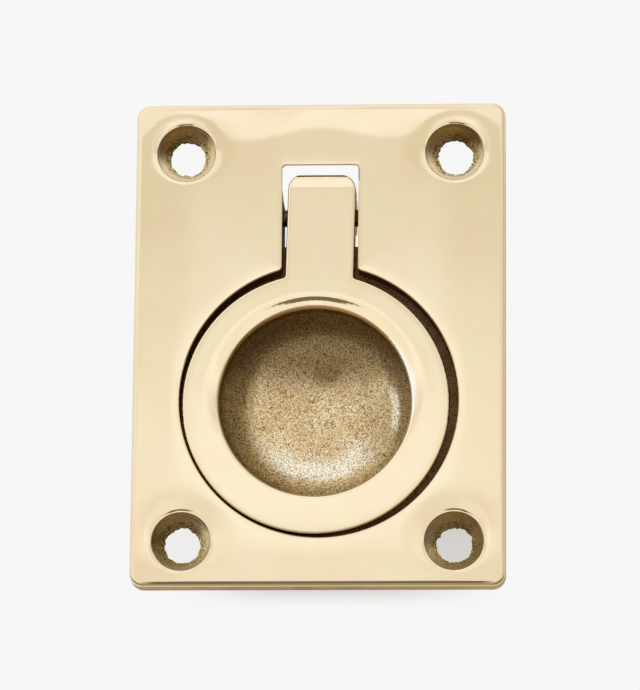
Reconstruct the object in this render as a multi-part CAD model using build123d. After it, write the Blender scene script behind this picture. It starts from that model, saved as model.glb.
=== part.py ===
from build123d import *
import os
from math import cos, radians, sin

# A flush ring pull in cast brass, lying face up.
# Origin: middle of the four screw holes, on the back of the plate. X to the right, Y towards the hinge, Z out of the face.
# All sizes are in millimetres.

# Face plate
plate_length = 63.5
plate_width = 47.6
plate_thickness = 3.0
plate_corner_radius = 1.7
plate_edge_round = 0.6
plate_back_break = 0.2
plate_above_screws = 0.44

# Countersunk screw holes
screw_spacing_x = 34.6
screw_spacing_y = 51.1
screw_hole_radius = 2.2
countersink_radius = 3.74
countersink_angle = 60

# Ring casting
ring_outer_radius = 17.06
ring_band = 4.81
ring_hole_shift_x = -0.1
ring_hole_shift_y = 0.2
ring_edge_round = 0.3
ring_bore_front_round = 0.5
ring_bore_back_break = 0.5
stem_width = 8.7
stem_taper = 0.15
neck_radius = 0.4
tail_length = 4.81
tail_corner_radius = 2.1
tail_roll = 0.8
tail_back_round = 0.5
pin_to_ring_centre = 25.5
knuckle_wall = 1.12
knuckle_web_radius = 0.7

# How the loose ring lies in its recess
seat_gap = 0.05
ring_lean_deg = 1.17
ring_side_play = 0.15
ring_drop = 0.37

# Hinge pin
pin_radius = 1.1
pin_below_back = 1.3
pin_above_middle = 17.5
pin_end_break = 0.2
pin_running_clearance = 0.06
pin_seat_clearance = 0.01

# Keyhole recess, channel and cheeks
ring_gap = 0.78
stem_side_gap = 0.55
tail_gap = 1.16
slot_corner_radius = 0.5
tail_relief_length = 3.1
tail_relief_land = 0.22
tail_relief_deg = 17
recess_edge_break = 0.12
channel_floor_past_knuckle = 1.9
cheek_thickness = 3.1
cheek_below_pin = 1.3
cheek_past_pin = 1.95
cheek_draft_deg = 3
cheek_end_radius = 0.9

# Finger bowl
cup_wall = 1.7
mouth_setback = 1.53
dish_radius = 9.5
dish_edge_depth = 3.2
dish_sag = 1.2
cup_foot_inset = 2.2
cup_foot_break = 0.5
cup_root_radius = 0.8
flange_break = 0.3

# Sizes that follow from the driving ones
plate_y = plate_above_screws
pin_y = plate_y + pin_above_middle
pin_z = -pin_below_back
recess_y = pin_y - pin_to_ring_centre + ring_drop
recess_radius = ring_outer_radius + ring_gap
ring_inner_radius = ring_outer_radius - ring_band
slot_width = stem_width + 2 * stem_side_gap
slot_top_y = pin_y + tail_length + tail_gap
mouth_radius = ring_inner_radius + mouth_setback
dish_edge_z = -dish_edge_depth
dish_centre_z = dish_edge_z - dish_sag
cup_foot_z = dish_centre_z - cup_wall
cup_shoulder_radius = mouth_radius + cup_wall
cup_foot_radius = cup_shoulder_radius - cup_foot_inset - cup_wall
knuckle_bore_radius = pin_radius + pin_running_clearance
knuckle_radius = knuckle_bore_radius + knuckle_wall
channel_end_y = pin_y - knuckle_radius - channel_floor_past_knuckle
cheek_depth = pin_below_back + pin_radius + cheek_below_pin
cheek_end_y = pin_y + cheek_past_pin
block_width = slot_width + 2 * cheek_thickness


def corner_at(sketch, x, y):
    """The corner of a sketch that lies nearest to a point of its own plane."""
    return sketch.vertices().sort_by_distance((x, y, 0))[0]


def keyhole_outline():
    """The recess seen from the front: a circle with a straight slot that runs up from it."""
    with BuildSketch() as keyhole:
        with Locations((0, recess_y)):
            Circle(recess_radius)
        with Locations((0, (slot_top_y + recess_y) / 2)):
            Rectangle(slot_width, slot_top_y - recess_y)
        top_corners = keyhole.vertices().group_by(Axis.Y)[-1]
        fillet(top_corners, slot_corner_radius)
        neck_corners = keyhole.vertices().filter_by(lambda v: recess_y < v.Y < slot_top_y - 2 * slot_corner_radius)
        fillet(neck_corners, slot_corner_radius)
    return keyhole.sketch


def tail_relief():
    """The top end of the slot, which opens out towards the back so that the tail can swing through it."""
    relief_depth = plate_thickness - tail_relief_land
    with BuildPart() as relief:
        with BuildSketch(Plane((0, slot_top_y - tail_relief_length / 2, relief_depth))) as opening:
            Rectangle(slot_width, tail_relief_length)
            fillet(opening.vertices().group_by(Axis.Y)[-1], slot_corner_radius)
        extrude(amount=-relief_depth, taper=-tail_relief_deg)
    return relief.part


def bowl_hollow():
    """The inside of the bowl: a shallow dish that turns up into a curved wall, open at the ledge."""
    with BuildPart() as hollow:
        with BuildSketch(Plane((0, recess_y, 0), x_dir=(1, 0, 0), z_dir=(0, -1, 0))):
            with BuildLine():
                floor = TangentArc((0, dish_centre_z), (dish_radius, dish_edge_z), tangent=(1, 0))
                wall = TangentArc(floor @ 1, (mouth_radius, 0), tangent=floor % 1)
                rim = Line(wall @ 1, (0, 0))
                Line(rim @ 1, floor @ 0)
            make_face()
        revolve(axis=Axis((0, recess_y, 0), (0, 0, 1)))
    return hollow.part


def cup_body():
    """The outside of the recess and bowl, solid: a flange under the ledge and a tapered cup with a flat foot."""
    flange_radius = recess_radius + cup_wall
    flange_z = -cup_wall
    with BuildPart() as cup:
        with BuildSketch(Plane((0, recess_y, 0), x_dir=(1, 0, 0), z_dir=(0, -1, 0))) as section:
            with BuildLine():
                Polyline(
                    (0, 0),
                    (flange_radius, 0),
                    (flange_radius, flange_z),
                    (cup_shoulder_radius, flange_z),
                    (cup_foot_radius, cup_foot_z),
                    (0, cup_foot_z),
                    close=True,
                )
            make_face()
            chamfer(corner_at(section, cup_foot_radius, cup_foot_z), cup_foot_break)
            fillet(corner_at(section, cup_shoulder_radius, flange_z), cup_root_radius)
            chamfer(corner_at(section, flange_radius, flange_z), flange_break)
        revolve(axis=Axis((0, recess_y, 0), (0, 0, 1)))
    return cup.part


def make_plate():
    """The body casting: plate, ledge, bowl, channel floor and cheeks in one piece."""
    with BuildPart() as plate:
        with BuildSketch():
            with Locations((0, plate_y)):
                RectangleRounded(plate_width, plate_length, plate_corner_radius)
        extrude(amount=plate_thickness)
        fillet(plate.faces().sort_by(Axis.Z)[-1].edges(), plate_edge_round)
        chamfer(plate.faces().sort_by(Axis.Z)[0].edges(), plate_back_break)

        # The two cheeks start as one drafted block that runs down into the cup.
        with BuildSketch():
            with Locations((0, (cheek_end_y + recess_y) / 2)):
                Rectangle(block_width, cheek_end_y - recess_y)
        extrude(amount=-cheek_depth, taper=cheek_draft_deg)
        block_ends = plate.edges().filter_by(lambda e: e.center().Y > cheek_end_y - cheek_thickness)
        block_ends = block_ends.filter_by(lambda e: -cheek_depth < e.center().Z < 0)
        fillet(block_ends.filter_by(lambda e: abs(e.tangent_at(0.5).Z) > 0.9), cheek_end_radius)

        # The space between the cheeks, open to the back and closed by the channel floor under the stem.
        with Locations((0, (slot_top_y + recess_y) / 2, -cheek_depth / 2)):
            Box(slot_width, slot_top_y - recess_y, cheek_depth, mode=Mode.SUBTRACT)
        with Locations((0, (channel_end_y + recess_y) / 2, -cup_wall / 2)):
            Box(slot_width, channel_end_y - recess_y, cup_wall)
        add(cup_body())

        # Keyhole recess in the face, and the part of the slot that goes right through.
        with BuildSketch():
            add(keyhole_outline())
        extrude(amount=plate_thickness, mode=Mode.SUBTRACT)
        add(bowl_hollow(), mode=Mode.SUBTRACT)
        rim = plate.faces().filter_by(Axis.Z).sort_by(Axis.Z)[-1].inner_wires()[0]
        chamfer(rim.edges(), recess_edge_break)
        add(tail_relief(), mode=Mode.SUBTRACT)

        # Countersunk screw holes, one near each corner.
        with Locations(Plane((0, 0, plate_thickness))):
            with GridLocations(screw_spacing_x, screw_spacing_y, 2, 2):
                CounterSinkHole(
                    screw_hole_radius, countersink_radius, depth=plate_thickness, counter_sink_angle=countersink_angle
                )

        # Cross hole for the pin, through both cheeks.
        with Locations(Location((0, pin_y, pin_z), (0, 90, 0))):
            Cylinder(pin_radius + pin_seat_clearance, block_width, mode=Mode.SUBTRACT)
    return plate.part


def ring_outline():
    """The ring casting seen from the front, with the pin at the origin and the stem straight down."""
    half_tail = stem_width / 2
    half_neck = half_tail + stem_taper / 2
    with BuildSketch() as outline:
        with BuildLine():
            Polyline(
                (-half_tail, tail_length),
                (half_tail, tail_length),
                (half_neck, -pin_to_ring_centre),
                (-half_neck, -pin_to_ring_centre),
                close=True,
            )
        make_face()
        with Locations((0, -pin_to_ring_centre)):
            Circle(ring_outer_radius)
        tail_corners = outline.vertices().group_by(Axis.Y)[-1]
        fillet(tail_corners, tail_corner_radius)
        neck_corners = outline.vertices().filter_by(lambda v: -pin_to_ring_centre < v.Y < 0)
        fillet(neck_corners, neck_radius)
    return outline.sketch


def ring_side():
    """The ring casting seen from the side: a flat slab, rolled over at the tail, with the knuckle behind it."""
    far_end = -pin_to_ring_centre - 2 * ring_outer_radius
    back = seat_gap - pin_z
    front = plate_thickness - pin_z
    with BuildSketch(Plane.YZ) as side:
        with BuildLine():
            Polyline((far_end, back), (tail_length, back), (tail_length, front), (far_end, front), close=True)
        make_face()
        fillet(corner_at(side, tail_length, front), tail_roll)
        fillet(corner_at(side, tail_length, back), tail_back_round)
        Circle(knuckle_radius)
        fillet(corner_at(side, knuckle_radius, back), knuckle_web_radius)
        fillet(corner_at(side, -knuckle_radius, back), knuckle_web_radius)
    return side.sketch


def make_ring():
    """The ring casting: finger ring, stem, tail and knuckle in one piece."""
    with BuildPart() as ring:
        # The outline leans with the loose ring, and its front edge is softened all the way round.
        with BuildSketch(Plane((0, 0, -knuckle_radius))):
            with Locations(Location((ring_side_play, 0, 0), (0, 0, -ring_lean_deg))):
                add(ring_outline())
        extrude(amount=knuckle_radius + plate_thickness - pin_z)
        fillet(ring.faces().sort_by(Axis.Z)[-1].edges(), ring_edge_round)

        # The slab and the knuckle run straight across, along the pin.
        extrude(ring_side(), amount=2 * ring_outer_radius, both=True, mode=Mode.INTERSECT)

        # The finger hole, a touch off centre, rounded at the front and broken at the back.
        centre_x = ring_side_play + ring_hole_shift_x - pin_to_ring_centre * sin(radians(ring_lean_deg))
        centre_y = ring_hole_shift_y - pin_to_ring_centre * cos(radians(ring_lean_deg))
        with Locations((centre_x, centre_y, 0)):
            Cylinder(ring_inner_radius, 4 * plate_thickness + 2 * pin_below_back, mode=Mode.SUBTRACT)
        fillet(finger_hole_edges(ring)[-1], ring_bore_front_round)
        chamfer(finger_hole_edges(ring)[0], ring_bore_back_break)

        # Bore for the pin.
        Cylinder(knuckle_bore_radius, 2 * stem_width, rotation=(0, 90, 0), mode=Mode.SUBTRACT)
    return ring.part.moved(Location((0, pin_y, pin_z)))


def finger_hole_edges(ring):
    """The edges of the finger hole that are still sharp, from the back to the front."""
    circles = ring.edges().filter_by(GeomType.CIRCLE)
    return circles.filter_by(lambda e: abs(e.radius - ring_inner_radius) < seat_gap / 10).sort_by(Axis.Z)


def make_hinge_pin():
    """The plain cross pin, flush with the outsides of the cheeks."""
    draft_inset = pin_below_back * sin(radians(cheek_draft_deg))
    length = block_width - 2 * draft_inset
    with BuildPart() as pin:
        with Locations(Location((0, pin_y, pin_z), (0, 90, 0))):
            Cylinder(pin_radius, length)
        chamfer(pin.edges().filter_by(GeomType.CIRCLE), pin_end_break)
    return pin.part


os.makedirs("parts", exist_ok=True)
export_step(make_plate(), "parts/plate.step")
export_step(make_ring(), "parts/ring.step")
export_step(make_hinge_pin(), "parts/hinge_pin.step")
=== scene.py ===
"""Looks of a recessed finger pull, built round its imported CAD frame.

The pull is one brass casting with a polished face, four countersunk screw holes
and a dished finger bowl, a polished ring that swings up out of the face on a
hidden pin, and a small sheet of plain studio round it. All sizes in this file
are millimetres, in the frame of the part, unless a name says otherwise.
"""

import logging
import math
from dataclasses import dataclass, field
from enum import Enum
from typing import Any

import bpy
import numpy as np
from mathutils import Matrix, Vector
from mathutils.geometry import delaunay_2d_cdt


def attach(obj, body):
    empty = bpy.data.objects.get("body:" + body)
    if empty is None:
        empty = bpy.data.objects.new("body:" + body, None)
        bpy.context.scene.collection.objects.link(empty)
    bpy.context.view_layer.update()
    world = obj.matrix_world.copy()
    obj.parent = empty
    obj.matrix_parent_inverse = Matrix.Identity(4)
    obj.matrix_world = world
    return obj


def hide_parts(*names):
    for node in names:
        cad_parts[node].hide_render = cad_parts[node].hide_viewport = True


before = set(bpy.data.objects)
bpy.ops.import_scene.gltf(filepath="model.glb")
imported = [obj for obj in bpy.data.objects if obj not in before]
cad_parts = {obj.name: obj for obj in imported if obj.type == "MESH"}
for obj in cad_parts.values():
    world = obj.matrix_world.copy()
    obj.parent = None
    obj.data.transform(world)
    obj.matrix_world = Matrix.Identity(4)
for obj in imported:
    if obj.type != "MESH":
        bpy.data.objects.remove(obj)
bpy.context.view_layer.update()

MM = 0.001
Colour = tuple[float, float, float]
Array = np.ndarray
log = logging.getLogger("finger_pull")


class Region(Enum):
    """The finish of a face of the plate casting, in the order of its material slots."""

    FACE = 0
    BORE = 1
    RECESS = 2
    BOWL = 3
    SKIN = 4
    EDGE = 5


# Node trees as Python expressions


@dataclass(frozen=True)
class Graph:
    """Adds nodes to one shader or geometry tree."""

    tree: bpy.types.NodeTree

    @classmethod
    def emptied(cls, owner: bpy.types.Material | bpy.types.World) -> "Graph":
        """The graph of a new material or world, with no nodes in it yet."""
        owner.use_nodes = True
        owner.node_tree.nodes.clear()
        return cls(owner.node_tree)

    def node(self, kind: str, inputs: dict | None = None, out: str | int = 0, **settings: Any) -> "Signal":
        """Adds one node.

        Args:
            kind: the node's type.
            inputs: a value or a Signal for each socket, by name or number.
            out: the output that the result stands for.
            settings: its own properties, set first; "stops" holds a ramp's stops.

        Returns:
            The wrapped output socket.
        """
        made = self.tree.nodes.new(kind)
        for name, value in settings.items():
            if name == "stops":
                self._set_stops(made.color_ramp, value)
            else:
                setattr(made, name, value)
        for key, value in (inputs or {}).items():
            socket = made.inputs[key]
            if isinstance(value, Signal):
                self.tree.links.new(value.socket, socket)
            else:
                socket.default_value = value
        return Signal(self, made.outputs[out] if made.outputs else None, made)

    @staticmethod
    def _set_stops(ramp: bpy.types.ColorRamp, stops: list[tuple[float, Colour]]) -> None:
        """Gives a colour ramp exactly these stops."""
        while len(ramp.elements) > 1:
            ramp.elements.remove(ramp.elements[-1])
        ramp.elements[0].position = stops[0][0]
        ramp.elements[0].color = (*stops[0][1], 1.0)
        for place, colour in stops[1:]:
            ramp.elements.new(place).color = (*colour, 1.0)

    def mix(self, share: Any, low: Any, high: Any) -> "Signal":
        """Mixes two colours.

        Args:
            share: 0 for low and 1 for high, as a number or a Signal.
            low: a Signal or a linear colour.
            high: a Signal or a linear colour.

        Returns:
            The mixed colour.
        """
        shown = [c if isinstance(c, Signal) else (*c, 1.0) for c in (low, high)]
        return self.node("ShaderNodeMix", {0: share, 6: shown[0], 7: shown[1]}, 2, data_type="RGBA")

    def noise(self, place: "Signal", per_mm: float, detail: float = 3.0, **more: Any) -> "Signal":
        """Noise between 0 and 1.

        Args:
            place: the point in millimetres.
            per_mm: how many lumps lie on a millimetre.
            detail: the number of finer layers.
            more: other inputs, by name; W is a fourth coordinate.

        Returns:
            The noise's value.
        """
        inputs = {"Vector": place, "Scale": per_mm, "Detail": detail, **more}
        return self.node("ShaderNodeTexNoise", inputs, noise_dimensions="4D" if "W" in more else "3D")

    def vector_math(self, operation: str, first: Any, second: Any, out: str | int = 0) -> "Signal":
        """Adds a Vector Math node with two values."""
        return self.node("ShaderNodeVectorMath", {0: first, 1: second}, out, operation=operation)

    def stretch(self, place: "Signal", factors: Colour) -> "Signal":
        """Scales a vector along each axis, so that a pattern on it is drawn out."""
        return self.vector_math("MULTIPLY", place, factors)

    def split(self, vector: "Signal") -> tuple["Signal", "Signal", "Signal"]:
        """The three numbers of a vector."""
        x = self.node("ShaderNodeSeparateXYZ", {0: vector})
        return x, x.output(1), x.output(2)

    def place(self) -> "Signal":
        """The point on the object in millimetres."""
        metres = self.node("ShaderNodeTexCoord", None, "Object")
        return self.stretch(metres, (1 / MM, 1 / MM, 1 / MM))


def operator(operation: str, turned: bool = False) -> Any:
    """Makes an operator of Signal that adds one Math node.

    Args:
        operation: the Math node's operation.
        turned: whether the Signal is the second value, as in 1 - mask.

    Returns:
        The method.
    """

    def method(self: "Signal", other: Any) -> "Signal":
        """Adds the Math node."""
        first, second = (other, self) if turned else (self, other)
        return self.graph.node("ShaderNodeMath", {0: first, 1: second}, operation=operation)

    return method


@dataclass(frozen=True)
class Signal:
    """A socket whose arithmetic adds Math nodes to its tree; | takes the larger of two."""

    graph: Graph
    socket: bpy.types.NodeSocket | None
    node: bpy.types.Node

    __add__, __radd__ = operator("ADD"), operator("ADD", True)
    __sub__, __rsub__ = operator("SUBTRACT"), operator("SUBTRACT", True)
    __mul__, __rmul__ = operator("MULTIPLY"), operator("MULTIPLY", True)
    __truediv__, __rtruediv__ = operator("DIVIDE"), operator("DIVIDE", True)
    __pow__, __or__ = operator("POWER"), operator("MAXIMUM")

    def math(self, operation: str, *others: Any) -> "Signal":
        """Adds a Math node with this socket as its first value.

        Args:
            operation: the Math node's operation.
            others: the second and third values, as numbers or Signals.

        Returns:
            The result.
        """
        values = dict(enumerate((self, *others)))
        return self.graph.node("ShaderNodeMath", values, operation=operation)

    def output(self, name: str | int) -> "Signal":
        """Another output of the same node."""
        return Signal(self.graph, self.node.outputs[name], self.node)

    def __abs__(self) -> "Signal":
        """The size of the value."""
        return self.math("ABSOLUTE")

    def step(self, start: float, end: float) -> "Signal":
        """Rises smoothly from 0 at start to 1 at end; start may be the larger.

        Args:
            start: the value that gives 0.
            end: the value that gives 1.

        Returns:
            The step, between 0 and 1.
        """
        low, high = min(start, end), max(start, end)
        inputs = {"Value": self, "From Min": low, "From Max": high}
        rising = self.graph.node("ShaderNodeMapRange", inputs, interpolation_type="SMOOTHSTEP")
        return rising if end > start else 1.0 - rising

    def near(self, middle: float, full: float, gone: float) -> "Signal":
        """1 within full of the middle, falling smoothly to 0 at gone."""
        return abs(self - middle).step(gone, full)


# Finishes


@dataclass(frozen=True)
class Finish:
    """A procedural metal on object coordinates."""

    name: str

    def material(self) -> bpy.types.Material:
        """Builds the material."""
        made = bpy.data.materials.new(self.name)
        graph = Graph.emptied(made)
        inputs = {"Metallic": 1.0, **self.surface(graph, graph.place())}
        shader = graph.node("ShaderNodeBsdfPrincipled", inputs)
        graph.node("ShaderNodeOutputMaterial", {"Surface": shader})
        return made

    def surface(self, graph: Graph, place: Signal) -> dict[str, Any]:
        """The shader's inputs, by name; each finish gives its own.

        Args:
            graph: the material's graph.
            place: the point on the piece in millimetres.

        Returns:
            A value or a Signal for each input of the shader.
        """
        raise NotImplementedError

    @staticmethod
    def bump(graph: Graph, height: Signal, depth: float) -> Signal:
        """A normal that follows a height.

        Args:
            graph: the material's graph.
            height: the height, between 0 and 1.
            depth: how deep the relief is, in millimetres.

        Returns:
            The normal.
        """
        inputs = {"Strength": 1.0, "Distance": depth * MM, "Height": height}
        return graph.node("ShaderNodeBump", inputs)

    @staticmethod
    def apart(graph: Graph, place: Signal, middle: Colour) -> Signal:
        """How far the surface is from a point."""
        return graph.vector_math("DISTANCE", place, middle, "Value")


@dataclass(frozen=True)
class PolishedBrass(Finish):
    """Buffed brass: almost a mirror, with soft clouds of tint, hairlines, a few pits and a painted shade
    line near its lower edge.
    """

    bright: Colour = (0.905, 0.79, 0.575)
    rosy: Colour = (0.905, 0.76, 0.55)
    green: Colour = (0.89, 0.795, 0.56)
    pit: Colour = (0.42, 0.31, 0.16)
    roughness: float = 0.036
    pit_spacing: float = 1.9
    pit_size: float = 0.055
    soft_sides: tuple[float, float] = (23.0, 23.5)
    soft_top: tuple[float, float] = (31.1, 31.6)
    # A painted shade line along the lower edge, in place of the dark reflection of a rolled edge: its
    # middle height, half width and reach to each side.
    grime: Colour = (0.06, 0.04, 0.02)
    painted_shade_line: tuple[float, float, float] = (-30.83, 0.16, 22.4)

    def surface(self, graph: Graph, place: Signal) -> dict[str, Any]:
        """Clouds of tint, sparse pits, a painted shade line, and hairlines in the roughness and the normal.
        """
        clouds = graph.noise(place, 0.11, 2.0)
        warm = graph.mix(clouds.step(0.42, 0.62), self.bright, self.rosy)
        tint = graph.mix(graph.noise(place, 0.17, 2.0).step(0.5, 0.7), warm, self.green)
        cell = {"Vector": place, "Scale": 1 / self.pit_spacing, "Randomness": 1.0}
        pits = graph.node("ShaderNodeTexVoronoi", cell)
        lucky, size, _ = graph.split(pits.output("Color"))
        reach = self.pit_size / self.pit_spacing
        speck = (pits / (size + 0.3)).step(reach, reach * 0.4) * lucky.step(0.8, 0.82)
        hairs = graph.noise(graph.stretch(place, (9.0, 0.35, 2.0)), 1.0, 3.0)
        cross = graph.noise(graph.stretch(place, (0.5, 7.0, 2.0)), 1.0, 3.0)
        x, y, _ = graph.split(place)
        soft = abs(x).step(*self.soft_sides) | y.step(*self.soft_top)
        rough = self.roughness + (graph.noise(place, 0.5, 4.0) + hairs) * 0.012 + speck * 0.3 + soft * 0.26
        # Painted shade: a thin dark line along the face's lower edge that fades before the corners.
        middle, half, end = self.painted_shade_line
        shade_line = y.near(middle, half * 0.4, half) * x.near(0.0, end - 2.0, end)
        return {
            "Base Color": graph.mix(shade_line * 0.85, graph.mix(speck * 0.8, tint, self.pit), self.grime),
            "Roughness": rough,
            "Normal": self.bump(graph, (hairs + cross) * 0.5 - speck * 6.0, 0.00035),
        }


@dataclass(frozen=True)
class RingBrass(PolishedBrass):
    """The same brass, with painted shade on the upper-left rim of the ring's hole, a painted highlight on
    its right and a painted brightening round its upper half.
    """

    hole: Colour = (-0.47, -7.36, 0.0)
    # The painted shade on the hole's rounded rim: where it fades in, and its colour.
    rim: tuple[float, float] = (12.58, 12.44)
    tarnished: Colour = (0.62, 0.44, 0.22)
    hazy_reach: tuple[float, ...] = (13.75, 14.1, 14.7, 16.0)
    # A painted highlight along the right of the hole's rim, and where it reaches.
    gleam: Colour = (1.0, 0.98, 0.93)
    rim_highlight_reach: tuple[float, float] = (13.3, 12.7)
    # A painted brightening of the face round the upper half of the hole, where it mirrors a dim band of the
    # light.
    handled: Colour = (1.0, 0.88, 0.64)
    brightening_reach: tuple[float, float] = (14.9, 13.9)

    def surface(self, graph: Graph, place: Signal) -> dict[str, Any]:
        """The polished surface with painted shade, a painted highlight and a painted brightening round the
        hole.
        """
        inputs = super().surface(graph, place)
        flat = graph.stretch(place, (1.0, 1.0, 0.0))
        x, y, _ = graph.split(flat)
        out = self.apart(graph, flat, self.hole)
        # Painted highlight: the right of the hole's rim is drawn near white.
        rubbed = x.step(9.0, 10.5) * y.near(-3.0, 4.5, 7.5)
        # Painted shade on the upper-left of the hole's rounded rim.
        dull = (y - self.hole[1] - x * 0.5).step(0.0, 8.0)
        # Painted brightening: the mask below marks the face round the upper half of the hole, which is
        # drawn paler.
        worn = out.step(*self.brightening_reach) * y.step(-7.0, -2.0)
        base = graph.mix(worn, inputs["Base Color"], self.handled)
        rim = graph.mix(out.step(*self.rim) * dull, base, self.tarnished)
        inputs["Base Color"] = graph.mix(rubbed * out.step(*self.rim_highlight_reach), rim, self.gleam)
        start, full, fades, gone = self.hazy_reach
        hazy = out.step(start, full) * out.step(gone, fades) * y.step(-9.0, -3.0)
        inputs["Roughness"] = inputs["Roughness"] + hazy * 0.08
        return inputs


@dataclass(frozen=True)
class AntiqueBrass(Finish):
    """Brass darkened with age and worn back: a tan ground, fine dark specks and hairline marks; in the bowl
    also patina, painted shade and painted highlights.
    """

    dark: Colour = (0.15, 0.095, 0.045)
    brown: Colour = (0.82, 0.62, 0.35)
    rubbed: Colour = (1.0, 0.82, 0.54)
    cover: float = 0.55
    roughness: float = 0.33
    grain: float = 4.6
    relief: float = 0.0035
    # The bowl's middle, and the reach over which patina gathers towards its rim.
    bowl_middle: Colour = (0.1, -7.7, -4.0)
    rim_patina_reach: tuple[float, float] = (8.0, 10.8)
    # A painted highlight: a bright crescent low in the bowl.
    bowl_highlight_middle: Colour = (-0.8, -4.8, -4.0)
    bowl_highlight_reach: tuple[float, float, float] = (7.8, 9.8, 12.0)
    burnished: Colour = (1.0, 0.96, 0.82)
    # A painted dark reflection of the lens, above the bowl's middle.
    painted_lens_reflection: Colour = (0.6, -1.2, -4.0)
    # Patina that is partly painted shade, its darkest tone for specks and shade, a lit copy of it for the
    # lower rim, and how strongly these and the painted highlights are laid on.
    aged: Colour = (0.31, 0.21, 0.09)
    dark_patina_and_shade: Colour = (0.06, 0.04, 0.018)
    golden: Colour = (0.45, 0.30, 0.115)
    aging: float = 0.0

    def surface(self, graph: Graph, place: Signal) -> dict[str, Any]:
        """Soft clouds of ground colour under specks, wandering hairlines and a faint grain."""
        clouds = graph.noise(place, 0.3, 3.0)
        mottle = graph.noise(place, 1.7, 4.0, Roughness=0.6)
        speck = graph.noise(place, self.grain, 4.0, Roughness=0.7)
        ground = graph.mix((clouds * 0.6 + mottle * 0.4).step(0.4, 0.62), self.brown, self.rubbed)
        bend = graph.stretch(graph.noise(place, 0.9).output("Color"), (1.8, 1.8, 1.8))
        wander = graph.vector_math("ADD", place, bend)
        cells = {"Vector": wander, "Scale": 1.0, "Randomness": 1.0}
        line = graph.node("ShaderNodeTexVoronoi", cells, feature="DISTANCE_TO_EDGE")
        worm = line.step(0.05, 0.02) * graph.noise(place, 0.6, 2.0).step(0.48, 0.58)
        pits = speck.step(0.52, 0.42)
        shade = graph.mix(pits * self.cover, ground, self.dark)
        shade = graph.mix(worm * 0.7, shade, self.dark)
        if self.aging:
            uneven = (clouds - 0.5) * 1.4 + (mottle - 0.5) * 1.6
            shade = self.with_patina_and_painted_light(graph, place, shade, pits, uneven)
        return {
            "Base Color": shade,
            "Roughness": self.roughness + pits * 0.14 + mottle * 0.06,
            "Normal": self.bump(graph, speck * 0.7 + mottle * 0.5 - worm * 0.4, self.relief),
        }

    def with_patina_and_painted_light(self, graph: Graph, place: Signal, shade: Signal, pits: Signal, uneven: Signal) -> Signal:
        """Lays patina towards the bowl's rim, painted shade over its upper part, right side and upper rim,
        a painted dark reflection of the lens, and painted highlights: a crescent low down and a streak on
        the right.

        Args:
            graph: the material's graph.
            place: the point on the piece in millimetres.
            shade: the colour so far.
            pits: where the dark specks are.
            uneven: what makes the borders wander, in millimetres.

        Returns:
            The aged colour.
        """
        across, up, _ = graph.split(place)
        # Painted highlight: a bright crescent low in the bowl.
        low, full, gone = self.bowl_highlight_reach
        out = self.apart(graph, place, self.bowl_highlight_middle) + uneven
        crescent_highlight = out.step(low, full) * out.step(gone, gone - 1.0) * across.near(-0.6, 3.0, 9.5)
        crescent_highlight = crescent_highlight * up.step(-9.0, -12.0) * (0.92 - pits * 0.75)
        shade = graph.mix(crescent_highlight, shade, self.burnished)
        reach = self.apart(graph, place, self.bowl_middle)
        # Patina towards the rim; painted shade over the upper part and the right side; a painted dark
        # reflection of the lens.
        spot = (self.apart(graph, place, self.painted_lens_reflection) + uneven).step(3.9, 1.4) * 0.95
        edge = (reach + uneven).step(*self.rim_patina_reach) | spot | (up + uneven).step(-5.8, -0.4) * 0.92
        edge = edge | across.step(3.0, 9.0) * 0.42
        smudge = graph.noise(place, 0.8, 5.0, Roughness=0.65).step(0.52, 0.68) * 0.5
        # A lit copy of the patina for the lower rim.
        base = graph.mix(up.step(-10.5, -15.0), self.aged, self.golden)
        darkened_colour = graph.mix(pits | smudge, base, self.dark_patina_and_shade)
        # Painted shade on the upper rim.
        deep = reach.step(8.6, 11.0) * up.step(-7.0, -1.0) * 0.5
        shade = graph.mix(edge * self.aging, shade, graph.mix(deep, darkened_colour, self.dark_patina_and_shade))
        # Painted highlight: a streak down the bowl's right wall.
        streak_highlight = reach.step(8.8, 9.4) * reach.step(10.3, 9.8) * across.step(7.4, 8.6)
        streak_highlight = streak_highlight * up.near(-6.8, 1.0, 3.8) * (0.75 - pits * 0.6)
        return graph.mix(streak_highlight, shade, self.burnished)


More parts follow.
